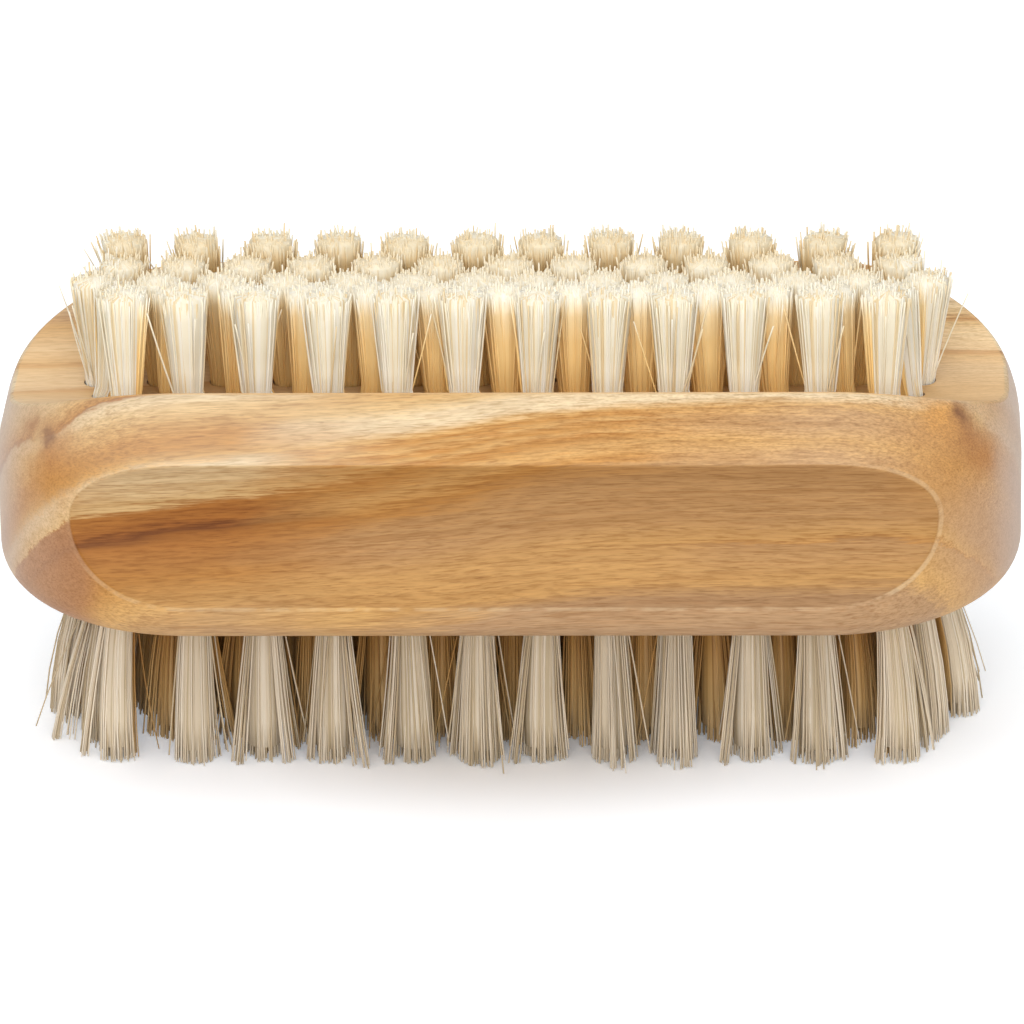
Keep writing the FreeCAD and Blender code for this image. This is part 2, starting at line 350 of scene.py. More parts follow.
# Noises of the grain: squeeze along the block, scale per millimetre, detail and roughness.
FIBRE_NOISE = (0.08, 5.8, 2.0, 0.6)
BROAD_NOISE = (0.035, 1.5, 3.0, 0.6)
STREAK_NOISE = (0.08, 3.0, 3.0, 0.6)
PORE_NOISE = (0.1, 5.4, 1.0, 0.5)
SPECK_SQUEEZE = 0.3
SPECK_SCALE = 7.0

# Tints of the grain where a noise is low and where it is high.
FIBRE_TINTS = ((0.33, (0.8, 0.74, 0.66)), (0.67, (1.12, 1.12, 1.11)))
BROAD_TINTS = ((0.28, (0.86, 0.81, 0.74)), (0.72, (1.08, 1.08, 1.07)))
SPECK_TINTS = ((0.3, (0.85, 0.8, 0.73)), (0.7, (1.09, 1.09, 1.08)))

# Strengths of the marks on the wood, as shares of their colour.
WEDGE_STRENGTH = 0.8
# Strength of the rosy painted sheen on the ends, at the left and at the right.
ROSY_SHEEN_LEFT_AND_RIGHT = (0.5, 0.6)
STREAK_STRENGTH = 0.5
LATE_STRENGTH = 0.16
PORE_STRENGTH = 0.24
END_SMOOTHING = 0.4
END_SPECKS = 0.4
# The next seven are painted light in part or whole: the pale groove edge, partly wear and partly painted
# highlight, painted sheen on the ends and the lip, and painted light on what faces up.
WEAR_AND_GLINT_ALL_ROUND = 0.06
WEAR_AND_GLINT_LOW = 0.16
WEAR_AND_GLINT_RIGHT = 0.2
END_SHEEN_STRENGTH = 0.45
TOP_LIGHT_STRENGTH = 0.5
LIP_SHEEN_LEFT = 0.1
LIP_SHEEN_RIGHT = 0.05

# Where the marks lie, in millimetres along and up the block or by layer. Each pair starts and ends a fade.
WEDGE_X = (-36.0, -39.0)
WEDGE_LOW_LAYERS = (-1.0, 4.0)
WEDGE_TOP_LAYERS = (11.8, 11.4)
# The next line places the rosy painted sheen on the ends.
ROSY_SHEEN_X = (-40.0, 40.0)
LIP_LEFT_X = (-24.0, -12.0)
LIP_RIGHT_X = (26.0, 12.0)
LIP_LOW_LAYERS = (8.5, 11.0)
LIP_TOP_LAYERS = (16.0, 14.0)
CURLY_X = (-6.0, 16.0)
CURLY_LAYERS = (4.0, 9.0)
# The next two place the pale groove edge, partly wear and partly painted highlight, and the two after them
# the painted sheen on the lip.
WEAR_AND_GLINT_LOW_Z = (25.0, 22.0)
WEAR_AND_GLINT_RIGHT_X = (32.0, 38.0)
LIP_SHEEN_LEFT_X = (-5.0, -20.0)
LIP_SHEEN_RIGHT_X = (20.0, 30.0)

# Which faces have a mark: each pair fades by how squarely a face looks to an end of the block, or upwards.
# The next line picks the faces of the rosy painted sheen on the ends.
ROSY_SHEEN_ENDWISE = (0.5, 0.9)
SMOOTH_ENDWISE = (0.3, 0.8)
LATE_ENDWISE = (0.6, 0.2)
PORE_ENDWISE = (0.9, 0.3)
SPECK_ENDWISE = (0.25, 0.75)
# The next four pick the faces of the painted sheen on the ends, of the painted light on what faces up and of
# the painted sheen on the lip.
END_SHEEN_ENDWISE = (0.8, 0.98)
TOP_LIGHT_UPWARD = (0.9, 0.99)
LIP_SHEEN_UPWARD = (0.15, 0.5)
LIP_SHEEN_NOT_FLAT = (0.97, 0.9)

# Which values of a noise make a mark. Most noises stay within NOISE_SPAN.
NOISE_SPAN = (0.3, 0.7)
PORE_FADE = (0.64, 0.72)
STREAK_FADE = (0.5, 0.66)
# The next two break up the pale groove edge, partly wear and partly painted highlight.
WEAR_AND_GLINT_NOISE_SCALE = 0.7
WEAR_AND_GLINT_FADE = (0.3, 0.6)

# Yearly lines of late wood: how many to a millimetre of layer, how far the broad noise moves them, and how
# each darkens slowly and ends quickly.
SEASONS = 0.62
SEASON_WOBBLE = 1.6
LATE_RISE = (0.55, 0.92)
LATE_FALL = (1.0, 0.94)

# Gloss and relief of the wood. A bump is a strength and a height.
WOOD_ROUGHNESS = (0.5, 0.42)
GROOVE_ROUGHNESS = 0.06
PORE_RELIEF = 0.8
WOOD_BUMP = (0.3, 0.03 * MM)


def layer_stops(layers):
    """The layers of one stretch of the block, with the deep ones above them, as stops of a colour ramp."""
    span = HIGHEST_LAYER - LOWEST_LAYER
    return [((level - LOWEST_LAYER) / span, srgb(*shade)) for level, shade in layers + DEEP_LAYERS]


def grain(g, at, squeeze, scale, detail, roughness):
    """A noise drawn out along the fibres of the wood."""
    place = g.combine(g.product(at.x, squeeze), at.y, at.straight)
    return g.noise(place, scale, detail, roughness)


def wood_fields(g):
    """The places, facings, layers and noises that the wood's colours are made from, in millimetres."""
    at = SimpleNamespace()
    at.spot = g.vector("SCALE", g.add("ShaderNodeTexCoord").outputs["Object"], scale=1 / MM)
    at.x, at.y, at.z = g.split(at.spot)
    facing_x, _, at.facing_z = g.split(g.add("ShaderNodeNewGeometry").outputs["Normal"])
    at.endwise = g.math("ABSOLUTE", facing_x)

    climb = g.curve(at.x, *CLIMB_PLACES, CLIMB, *CLIMB_HEIGHTS)
    level = g.math("SUBTRACT", at.z, climb)
    at.straight = g.math("SUBTRACT", at.z, g.product(climb, FIBRE_CLIMB))
    at.fibre = grain(g, at, *FIBRE_NOISE)
    at.broad = grain(g, at, *BROAD_NOISE)
    at.pore = g.fade(grain(g, at, *PORE_NOISE), *PORE_FADE)

    long_place = g.combine(g.product(at.x, LONG_SQUEEZE), at.y, level)
    sway = g.swing(g.noise(long_place, SWAY_SCALE), SWAY_WIDTH)
    ripple = g.swing(g.noise(long_place, RIPPLE_SCALE, RIPPLE_DETAIL), RIPPLE_WIDTH)
    at.clean_layer = g.total(level, g.product(at.y, LAYER_DIP), sway, ripple)
    for centre, radius, push in CURLS:
        at.clean_layer = g.total(at.clean_layer, g.product(g.blob(at.spot, centre, radius), push))
    feather = g.total(g.swing(at.broad, BROAD_FEATHER), g.swing(at.fibre, FIBRE_FEATHER))
    at.layer = g.total(at.clean_layer, feather)
    at.along = g.total(at.x, g.swing(g.noise(long_place, WANDER_SCALE), WANDER_WIDTH))

    side_y = g.math("SUBTRACT", g.math("ABSOLUTE", at.y), GROOVE_AXIS_Y)
    side_z = g.math("SUBTRACT", at.z, GROOVE_AXIS_Z)
    at.reach = g.math("SQRT", g.total(g.product(side_y, side_y), g.product(side_z, side_z)))
    at.groove = g.fade(at.reach, *GROOVE_FADE)
    return at


def layered_colour(g, at):
    """The growth layers, which pass from one set to the next along the block, with painted shade on the
    bottom lip at the lowest levels.
    """
    share = g.remap(at.layer, LOWEST_LAYER, HIGHEST_LAYER, 0.0, 1.0)
    left = g.ramp(share, layer_stops(LEFT_LAYERS))
    shaded_middle = g.ramp(share, layer_stops(MIDDLE_LAYERS))
    right = g.ramp(share, layer_stops(RIGHT_LAYERS))
    colour = g.mix(g.fade(at.along, *LEFT_TO_MIDDLE), left, shaded_middle)
    return g.mix(g.fade(at.along, *MIDDLE_TO_RIGHT), colour, right)


def marked_colour(g, at, colour):
    """Adds the brown wedge of wood beside the groove's left end, a rosy painted sheen on the ends and the
    stained corners.
    """
    wedge = g.product(g.inverse(at.groove), g.fade(at.x, *WEDGE_X),
                      g.fade(at.clean_layer, *WEDGE_TOP_LAYERS),
                      g.fade(at.layer, *WEDGE_LOW_LAYERS), WEDGE_STRENGTH)
    colour = g.mix(wedge, colour, srgb(*UMBER))
    # A rosy painted sheen on the ends, a little stronger at the right.
    rosy_sheen = g.product(g.fade(at.endwise, *ROSY_SHEEN_ENDWISE), g.remap(at.x, *ROSY_SHEEN_X, *ROSY_SHEEN_LEFT_AND_RIGHT))
    colour = g.mix(rosy_sheen, colour, srgb(*ROSE_SHEEN))
    frayed = g.warp(at.spot, STAIN_NOISE_SCALE, STAIN_NOISE_WIDTH)
    for centre, radius, shade, strength in STAINS:
        colour = g.mix(g.product(g.blob(frayed, centre, radius), strength), colour, srgb(*shade))
    return colour


def grained_colour(g, at, colour):
    """Adds orange streaks along the upper lip, the fibres, thin lines of late wood, pores and specks."""
    streak = g.fade(grain(g, at, *STREAK_NOISE), *STREAK_FADE)
    lip = g.product(g.fade(at.along, *LIP_LEFT_X), g.fade(at.along, *LIP_RIGHT_X),
                    g.fade(at.layer, *LIP_LOW_LAYERS), g.fade(at.layer, *LIP_TOP_LAYERS))
    colour = g.mix(g.product(streak, lip, STREAK_STRENGTH), colour, srgb(*RUST))

    smooth = colour
    colour = g.tinted(colour, at.fibre, *FIBRE_TINTS)
    colour = g.tinted(colour, at.broad, *BROAD_TINTS)
    colour = g.mix(g.product(g.fade(at.endwise, *SMOOTH_ENDWISE), END_SMOOTHING), colour, smooth)

    curly = g.product(g.fade(at.along, *CURLY_X), g.fade(at.layer, *CURLY_LAYERS), g.inverse(at.groove))
    season = g.math("FRACT", g.total(g.product(at.layer, SEASONS), g.product(at.broad, SEASON_WOBBLE)))
    late = g.product(g.fade(season, *LATE_RISE), g.fade(season, *LATE_FALL),
                     g.fade(at.endwise, *LATE_ENDWISE), g.inverse(curly), LATE_STRENGTH)
    colour = g.mix(late, colour, srgb(*BROWN))
    pores = g.product(at.pore, g.fade(at.endwise, *PORE_ENDWISE), PORE_STRENGTH)
    colour = g.mix(pores, colour, srgb(*DARK))

    # Cut ends of the fibres show as specks, on the round ends and where the grain is curly.
    speck = g.noise(g.combine(g.product(at.x, SPECK_SQUEEZE), at.y, at.z), SPECK_SCALE, 1.0)
    ends = g.product(g.fade(at.endwise, *SPECK_ENDWISE), END_SPECKS)
    return g.mix(g.math("MAXIMUM", ends, curly), colour, g.tinted(colour, speck, *SPECK_TINTS))


def painted_light_and_wear_colour(g, at, colour):
    """Paints shade in the groove, a pale edge along it that is partly wear and partly painted highlight,
    painted sheen on the ends, painted light on what faces up and painted sheen on the upper lip.
    """
    # Painted shade in the groove.
    colour = g.mix(at.groove, colour, g.times(colour, GROOVE_SHADE))
    # A pale line along the groove's edge, partly wear and partly painted highlight, stronger low down and at
    # the right.
    wear_and_glint = g.total(WEAR_AND_GLINT_ALL_ROUND, g.product(g.fade(at.z, *WEAR_AND_GLINT_LOW_Z), WEAR_AND_GLINT_LOW),
                   g.product(g.fade(at.x, *WEAR_AND_GLINT_RIGHT_X), WEAR_AND_GLINT_RIGHT))
    edge = g.product(g.band(at.reach, GROOVE_EDGE, GROOVE_EDGE_HALF, GROOVE_EDGE_SOFT), wear_and_glint,
                     g.fade(g.noise(at.spot, WEAR_AND_GLINT_NOISE_SCALE), *WEAR_AND_GLINT_FADE))
    colour = g.mix(edge, colour, srgb(*CREAM))
    # Painted pale sheen on the ends.
    colour = g.mix(g.product(g.fade(at.endwise, *END_SHEEN_ENDWISE), END_SHEEN_STRENGTH), colour, srgb(*END_SHEEN))
    # Painted warm light on what faces up.
    colour = g.mix(g.product(g.fade(at.facing_z, *TOP_LIGHT_UPWARD), TOP_LIGHT_STRENGTH), colour, srgb(*TOP_LIGHT))
    # Painted sheen on the upward-tilted upper lip, stronger at the left.
    lip_sheen = g.total(g.product(g.fade(at.x, *LIP_SHEEN_LEFT_X), LIP_SHEEN_LEFT),
                     g.product(g.fade(at.x, *LIP_SHEEN_RIGHT_X), LIP_SHEEN_RIGHT))
    lip_sheen = g.product(lip_sheen, g.fade(at.facing_z, *LIP_SHEEN_UPWARD), g.fade(at.facing_z, *LIP_SHEEN_NOT_FLAT),
                       g.inverse(at.groove))
    return g.times(g.mix(lip_sheen, colour, LIP_SHEEN), OILED)


def wood_material():
    """Figured honey-coloured wood: layers that dip to the back and climb to the right."""
    g = Graph("olive_wood_grain")
    at = wood_fields(g)
    colour = layered_colour(g, at)
    colour = marked_colour(g, at, colour)
    colour = grained_colour(g, at, colour)
    colour = painted_light_and_wear_colour(g, at, colour)
    rough = g.remap(at.fibre, *NOISE_SPAN, *WOOD_ROUGHNESS)
    rough = g.total(rough, g.product(at.groove, GROOVE_ROUGHNESS))
    relief = g.math("SUBTRACT", at.fibre, g.product(at.pore, PORE_RELIEF))
    return g.surface(Base_Color=colour, Roughness=rough, Specular_IOR_Level=0.22,
                     Normal=g.bump(relief, *WOOD_BUMP))


# The bristles' map: its width holds a shade for each bristle, its height the place from root to tip.
MAP_NAME = "OFBake"
SHADES = 16
ROOT_SHARE = 0.02
MOUTH_SHARE = 0.15
TIP_SHARE = 0.95
TOP_SHARE = 0.99
COLUMN_LEFT = 0.2
COLUMN_RIGHT = 0.8
FOOT_MIDDLE = (0.5, 0.05)
FOOT_SPREAD = (0.3, 0.03)

# Where the painted shade of the middle and of the back comes in: distance from the middle, and share of the
# length.
MIDDLE_SHADE_FADE = (38.0 * MM, 27.0 * MM)
BACK_SHADE_FADE = (-0.5 * OUTER_ROW_Y * MM, OUTER_ROW_Y * MM)
BACK_SHADE_TIPS = (0.75, 0.9)

# Fine marks on bristles and metal: scale per metre, squeeze along the piece, gloss and bump.
MARK_SCALE = 9000.0
BRISTLE_SQUEEZE = 0.2
BRISTLE_ROUGHNESS = (0.36, 0.5)
BRISTLE_BUMP = (0.1, 0.02 * MM)
METAL_SQUEEZE = 0.1
METAL_ROUGHNESS = (0.28, 0.45)
METAL_BUMP = (0.2, 0.01 * MM)
METAL_DARK = (150, 148, 142)
METAL_PALE = (205, 203, 198)


@dataclass
class Hair:
    """Colours of the bristles of one side, with painted shade on those facing its inside, in its middle and
    at its back tips. Shades are as they look on screen, tints go from root to tip.
    """
    name: str
    open_shades: list   # of bristles on the brush's open sides
    open_tints: list
    inner_painted_shades: list  # painted golden shade of bristles that face its inside
    inner_painted_shade_tints: list
    middle_shade: tuple  # painted shade of open bristles, half way along the brush
    back_shade: tuple    # painted shade of inner tips, towards the back


def bristle_material(hair):
    """Each bristle takes one of several shades, tinted from root to tip and with painted shade by its place
    on the brush.
    """
    g = Graph(hair.name)
    across, along, _ = g.split(g.add("ShaderNodeUVMap", uv_map=MAP_NAME).outputs[0])
    column = g.math("FLOOR", g.product(across, float(SHADES)))
    pick = g.add("ShaderNodeTexWhiteNoise", noise_dimensions="1D")
    g.feed(pick.inputs["W"], column)

    def shaded(shades, tints):
        stops = [(i / (len(shades) - 1), srgb(*shade)) for i, shade in enumerate(shades)]
        return g.times(g.ramp(pick.outputs["Value"], stops), g.ramp(along, tints))

    x, y, z = g.split(g.add("ShaderNodeTexCoord").outputs["Object"])
    outer = shaded(hair.open_shades, hair.open_tints)
    # Painted shade on open bristles in the middle of the brush, whose ends get more light.
    shaded_middle = g.fade(g.math("ABSOLUTE", x), *MIDDLE_SHADE_FADE)
    outer = g.mix(shaded_middle, outer, g.times(outer, hair.middle_shade))
    # Bristles that face the brush's inside take a painted golden shade.
    shaded_inner = shaded(hair.inner_painted_shades, hair.inner_painted_shade_tints)
    # Painted shade on the inner tips towards the back.
    back_shade_share = g.product(g.fade(y, *BACK_SHADE_FADE), g.fade(along, *BACK_SHADE_TIPS))
    shaded_inner = g.mix(back_shade_share, shaded_inner, g.times(shaded_inner, hair.back_shade))
    colour = g.mix(g.math("GREATER_THAN", column, SHADES / 2 - 0.5), outer, shaded_inner)
    marks = g.noise(g.combine(x, y, g.product(z, BRISTLE_SQUEEZE)), MARK_SCALE, 1.0)
    rough = g.remap(marks, *NOISE_SPAN, *BRISTLE_ROUGHNESS)
    return g.surface(Base_Color=colour, Roughness=rough, IOR=1.45, Normal=g.bump(marks, *BRISTLE_BUMP))


def metal_material():
    """Drawn metal strip, brushed along its length."""
    g = Graph("anchor_strip_metal")
    x, y, z = g.split(g.add("ShaderNodeTexCoord").outputs["Object"])
    stroke = g.noise(g.combine(g.product(x, METAL_SQUEEZE), y, z), MARK_SCALE, 3.0)
    colour = g.ramp(stroke, list(zip(NOISE_SPAN, (srgb(*METAL_DARK), srgb(*METAL_PALE)))))
    rough = g.remap(stroke, *NOISE_SPAN, *METAL_ROUGHNESS)
    return g.surface(Base_Color=colour, Metallic=1.0, Roughness=rough, Normal=g.bump(stroke, *METAL_BUMP))


# Bristles and cores are tubes, with rings at the root and at these shares of the free length.
STEP_SHARES = (0.0, 0.12, 0.35, 0.6, 0.82, 1.0)
RINGS = len(STEP_SHARES) + 1
SIDES = 5
STRAND_DOME = 0.05
TAPER = 0.08
RADIUS_SCATTER = 0.12

# The core of a tuft: ridges round it, depth of its flutes, and its width in the hole and at its end.
RIDGES = 64
FLUTE = 0.05
CORE_FILL = 0.97
CORE_SHOULDER = 0.9

# How bristles stand in a tuft. A power under a half crowds them to the rim, where locks and strays begin.
RIM_POWER = 0.38
RIM_SHARE = 0.7
BASE_SCATTER = 0.03
LOCK_HALF_ANGLE = 0.4
LOCK_PUSH = (0.3, 1.0)
STRAY_TURN = 0.5
STRAY_PUSH = (0.5, 1.0)
PROUD_HEIGHT = (0.3, 1.0)
SPREAD_POWER = (0.95, 1.2)
SAG = 0.05
DRIFT_SHARE = 0.12
ANCHOR_CLEARANCE = 0.1
SEED = 4127
SEEDS_PER_ROW = 10
LOWER_SEED = 5


@dataclass
class Look:
    """How the bristles of one side stand. Lengths are in millimetres, and dictionaries go by row."""
    count: int             # bristles in a tuft
    radius: float          # of a bristle
    base: float            # radius of a tuft in its hole
    tip: float             # radius of a tuft at its tip
    scatter: float         # of the tips, sideways
    length_scatter: float  # of the tips, lengthwise
    ruffle: dict           # how much more the tips of each row scatter
    core_tip: float        # radius of the core at its end
    core_short: float      # how far the core ends short of the tips
    core_dome: float       # height of the core's domed end
    locks: int             # clumps of bristles that stand out from a tuft
    lock_reach: float      # how far they stand out
    strays: float          # share of the bristles that stand away alone
    stray_reach: float     # how far they stand away
    stray_length: float    # least length of a stray, as a share of the others'
    inward: float          # how little a bristle faces open air before it counts as inner and takes painted shade
    lean: float            # of the outer rows, away from the middle
    bow: int               # power of the curve of a leaning tuft
    wander: float          # of each tuft from its place
    fan: dict              # how far the end tufts of each row lean along the brush
    front_drift: tuple     # of the tufts of the front row, read off the photograph
    dome: float = 0.0      # how much longer a tuft is in its middle
    proud: float = 0.0     # share of the bristles that stand above the others
    lift: float = 0.0      # how far the tips clear the floor


def sunflower(count, radius):
    """Points spread over a disc, a little closer together towards its rim."""
    number = np.arange(count)
    turn = number * math.pi * (3 - math.sqrt(5))
    out = radius * ((number + 0.5) / count) ** RIM_POWER
    return np.stack([out * np.cos(turn), out * np.sin(turn)], 1)


def strand_arrays(paths, radii, columns, twist, dome, flute=0.0):
    """Closed tubes along the paths, domed at the tip, as corners, loops, face sizes and map places.

    columns gives each side's shade, and flute sinks every other edge of a tube.
    """
    strands, points, _ = paths.shape
    sides = columns.shape[1]
    angle = np.arange(sides) * 2 * math.pi / sides
    sunk = np.where(np.arange(sides) % 2 == 1, 1 - flute, 1.0)
    turn = twist[:, None] + angle[None, :]
    ring = np.stack([np.cos(turn) * sunk, np.sin(turn) * sunk, np.zeros_like(turn)], 2)
    body = paths[:, :, None, :] + radii[:, :, None, None] * ring[:, None, :, :]
    ahead = paths[:, -1, :] - paths[:, -2, :]
    ahead /= np.linalg.norm(ahead, axis=1)[:, None]
    tips = paths[:, -1, :] + dome * ahead
    per = points * sides + 1
    verts = np.concatenate([body.reshape(strands, -1, 3), tips[:, None, :]], 1).reshape(-1, 3)
    corners, sizes, owner, across, along = [], [], [], [], []

    def face(spots, side):
        order = spots if ahead[0, 2] > 0 else spots[::-1]
        corners.extend(corner for corner, _, _ in order)
        across.extend(share for _, share, _ in order)
        along.extend(level for _, _, level in order)
        owner.extend([side] * len(order))
        sizes.append(len(order))

    levels = [ROOT_SHARE] + [MOUTH_SHARE + (TIP_SHARE - MOUTH_SHARE) * t for t in STEP_SHARES]
    last = (points - 1) * sides
    for side in range(sides):
        after = (side + 1) % sides
        for step in range(points - 1):
            low, high = levels[step], levels[step + 1]
            face([(step * sides + side, COLUMN_LEFT, low), (step * sides + after, COLUMN_RIGHT, low),
                  ((step + 1) * sides + after, COLUMN_RIGHT, high),
                  ((step + 1) * sides + side, COLUMN_LEFT, high)], side)
        face([(last + side, COLUMN_LEFT, TIP_SHARE), (last + after, COLUMN_RIGHT, TIP_SHARE),
              (per - 1, 0.5, TOP_SHARE)], side)
    foot = [(side, FOOT_MIDDLE[0] + FOOT_SPREAD[0] * math.cos(angle[side]),
             FOOT_MIDDLE[1] + FOOT_SPREAD[1] * math.sin(angle[side])) for side in range(sides)]
    face(foot[::-1], 0)
    corners, owner = np.array(corners), np.array(owner)
    loops = (corners[None, :] + (np.arange(strands) * per)[:, None]).ravel()
    u = (columns[:, owner] + np.array(across)[None, :]) / SHADES
    v = np.broadcast_to(np.array(along), u.shape)
    return verts, loops, np.tile(sizes, strands), np.stack([u.ravel(), v.ravel()], 1)


def strand_mesh(name, groups):
    """One mesh from several groups of strands."""
    verts = np.concatenate([group[0] for group in groups]) * MM
    offsets = np.cumsum([0] + [len(group[0]) for group in groups[:-1]])
    loops = np.concatenate([group[1] + offset for group, offset in zip(groups, offsets)])
    totals = np.concatenate([group[2] for group in groups])
    starts = np.concatenate([[0], np.cumsum(totals)[:-1]])
    uvs = np.concatenate([group[3] for group in groups])
    mesh = bpy.data.meshes.new(name)
    mesh.vertices.add(len(verts))
    mesh.vertices.foreach_set("co", verts.astype(np.float32).ravel())
    mesh.loops.add(len(loops))
    mesh.loops.foreach_set("vertex_index", loops.astype(np.int32))
    mesh.polygons.add(len(totals))
    mesh.polygons.foreach_set("loop_start", starts.astype(np.int32))
    mesh.polygons.foreach_set("use_smooth", np.ones(len(totals), bool))
    mesh.update(calc_edges=True)
    layer = mesh.uv_layers.new(name=MAP_NAME)
    layer.data.foreach_set("uv", uvs.astype(np.float32).ravel())
    mesh.validate()
    return mesh


def shade_columns(rng, offsets, outward, inward):
    """A shade for each bristle: the first half of the columns is for open sides, the second, in painted
    shade, for inside.
    """
    facing = offsets @ outward / (np.linalg.norm(offsets, axis=1) + 1e-6)
    inside = facing < inward if outward.any() else np.ones(len(offsets), bool)
    return rng.integers(0, SHADES // 2, len(offsets)) + np.where(inside, SHADES // 2, 0)


def axis_shift(t, drift, lean, bow):
    """How far a tuft's axis has moved sideways at a share t of its free length."""
    return drift * min(1.0, t / DRIFT_SHARE) + lean * (1 - (1 - t) ** bow)


def tip_places(rng, base, ruffle, look):
    """Where the bristles of a tuft end sideways, how far out each stands, and which of them are strays."""
    count = look.count
    out = np.linalg.norm(base, axis=1) / look.base
    turn = np.arctan2(base[:, 1], base[:, 0])
    reach = base * (look.tip / look.base) + rng.normal(0, look.scatter * ruffle, (count, 2))
    for _ in range(look.locks):
        heading = rng.uniform(-math.pi, math.pi)
        apart = np.abs((turn - heading + math.pi) % (2 * math.pi) - math.pi)
        members = (apart < LOCK_HALF_ANGLE) & (out > RIM_SHARE)
        push = rng.uniform(*LOCK_PUSH) * look.lock_reach
        reach[members] += push * np.array([math.cos(heading), math.sin(heading)])
    stray = (rng.uniform(size=count) < look.strays) & (out > RIM_SHARE)
    heading = turn + rng.normal(0, STRAY_TURN, count)
    far = rng.uniform(*STRAY_PUSH, count) * look.stray_reach
    reach[stray] += (far[:, None] * np.stack([np.cos(heading), np.sin(heading)], 1))[stray]
    return reach, out, stray


def tip_levels(rng, mouth, end, out, stray, ruffle, look):
    """How high the bristles of a tuft end: domed and uneven on top, nearly level underneath."""
    count = look.count
    if end > mouth:
        ends = end + look.dome * (0.5 - out ** 2) + rng.normal(0, look.length_scatter * ruffle, count)
        proud = rng.uniform(size=count) < look.proud
        ends[proud] += rng.uniform(*PROUD_HEIGHT, proud.sum())
    else:
        ends = end + np.abs(rng.normal(0, look.length_scatter, count))
    ends[stray] = mouth + (ends[stray] - mouth) * rng.uniform(look.stray_length, 1.0, stray.sum())
    return ends


def tuft_strands(rng, centre, levels, outward, drift, lean, ruffle, look):
    """The single bristles of one tuft: straight in the hole, then running out to their tips."""
    start, mouth, end = levels
    count = look.count
    base = sunflower(count, look.base) + rng.normal(0, BASE_SCATTER, (count, 2))
    reach, out, stray = tip_places(rng, base, ruffle, look)
    ends = tip_levels(rng, mouth, end, out, stray, ruffle, look)
    power = rng.uniform(*SPREAD_POWER, count)
    sag = rng.normal(0, SAG, (count, 2))
    paths = np.zeros((count, RINGS, 3))
    paths[:, 0, :2] = base
    paths[:, 0, 2] = start
    for step, t in enumerate(STEP_SHARES):
        spread = base + (reach - base) * (t ** power)[:, None] + sag * math.sin(math.pi * t)
        paths[:, step + 1, :2] = spread + axis_shift(t, drift, lean, look.bow)
        paths[:, step + 1, 2] = mouth + (ends - mouth) * t
    paths[:, :, :2] += centre
    thick = rng.normal(look.radius, look.radius * RADIUS_SCATTER, count)
    taper = np.array([1.0] + [1.0 - TAPER * t for t in STEP_SHARES])
    columns = np.repeat(shade_columns(rng, base, outward, look.inward)[:, None], SIDES, 1)
    twist = rng.uniform(0, 2 * math.pi, count)
    return strand_arrays(paths, thick[:, None] * taper[None, :], columns, twist, STRAND_DOME)


def tuft_core(rng, centre, levels, outward, drift, lean, look):
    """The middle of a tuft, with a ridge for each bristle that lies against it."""
    start, mouth, end = levels
    short = end - math.copysign(look.core_short, end - mouth)
    reached = (short - mouth) / (end - mouth)
    path = np.zeros((1, RINGS, 3))
    path[0, 0, 2] = start
    for step, t in enumerate(STEP_SHARES):
        path[0, step + 1, :2] = axis_shift(t * reached, drift, lean, look.bow)
        path[0, step + 1, 2] = mouth + (short - mouth) * t
    path[0, :, :2] += centre
    narrow = look.base * CORE_FILL
    radii = np.array([narrow] + [narrow + (look.core_tip - narrow) * t for t in STEP_SHARES])[None, :]
    radii[0, -1] *= CORE_SHOULDER
    angle = (np.arange(RIDGES) + 0.5) * 2 * math.pi / RIDGES
    ridges = shade_columns(rng, np.stack([np.cos(angle), np.sin(angle)], 1), outward, look.inward)
    return strand_arrays(path, radii, np.repeat(ridges, 2)[None, :], np.zeros(1), look.core_dome, FLUTE)


def open_side(number, index):
    """Which way a tuft faces open air: the front, the back or an end of the brush, or none."""
    along = -1.0 if index == 0 else 1.0 if index == TUFTS[number] - 1 else 0.0
    across = -1.0 if number == ROWS[0] else 1.0 if number == ROWS[-1] else 0.0
    length = math.hypot(along, across)
    return np.array([along, across]) / (length if length else 1.0)


def build_tufts(side, number, material, look):
    """The bristles of one row, in the holes that the CAD row fills."""
    node = f"{side}_tufts_row_{number}"
    low, high = (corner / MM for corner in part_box(node))
    anchor_low, anchor_high = (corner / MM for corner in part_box(f"{side}_anchors_row_{number}"))
    if side == "upper":
        levels = (anchor_high.z + ANCHOR_CLEARANCE, low.z + HOLE_DEPTH, high.z)
    else:
        levels = (anchor_low.z - ANCHOR_CLEARANCE, high.z - HOLE_DEPTH, low.z + look.lift)
    row = (low.y + high.y) / 2
    half = (high.x - low.x) / 2 - TIP_RADIUS_CAD
    rng = np.random.default_rng(SEED + SEEDS_PER_ROW * number + (0 if side == "upper" else LOWER_SEED))
    groups = []
    for index, place in enumerate(np.linspace(-half, half, TUFTS[number])):
        shift = look.front_drift[index] if number == ROWS[0] else rng.normal(0, look.wander)
        drift = np.array([shift, 0.0])
        lean = np.array([look.fan[number] * (place / half) ** 3, look.lean * row / OUTER_ROW_Y])
        lean += rng.normal(0, look.wander, 2)
        tuft = (rng, (place, row), levels, open_side(number, index), drift, lean)
        groups.append(tuft_strands(*tuft, look.ruffle[number], look))
        groups.append(tuft_core(*tuft, look))
    mesh = strand_mesh(f"{side}_bristles_row_{number}", groups)
    piece = bpy.data.objects.new(mesh.name, mesh)
    bpy.context.scene.collection.objects.link(piece)
    mesh.materials.append(material)
    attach(piece, "root")
    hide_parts(node)


def dress(node, material):
    """Gives a CAD node its procedural material."""
    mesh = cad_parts[node].data
    mesh.materials.clear()
    mesh.materials.append(material)


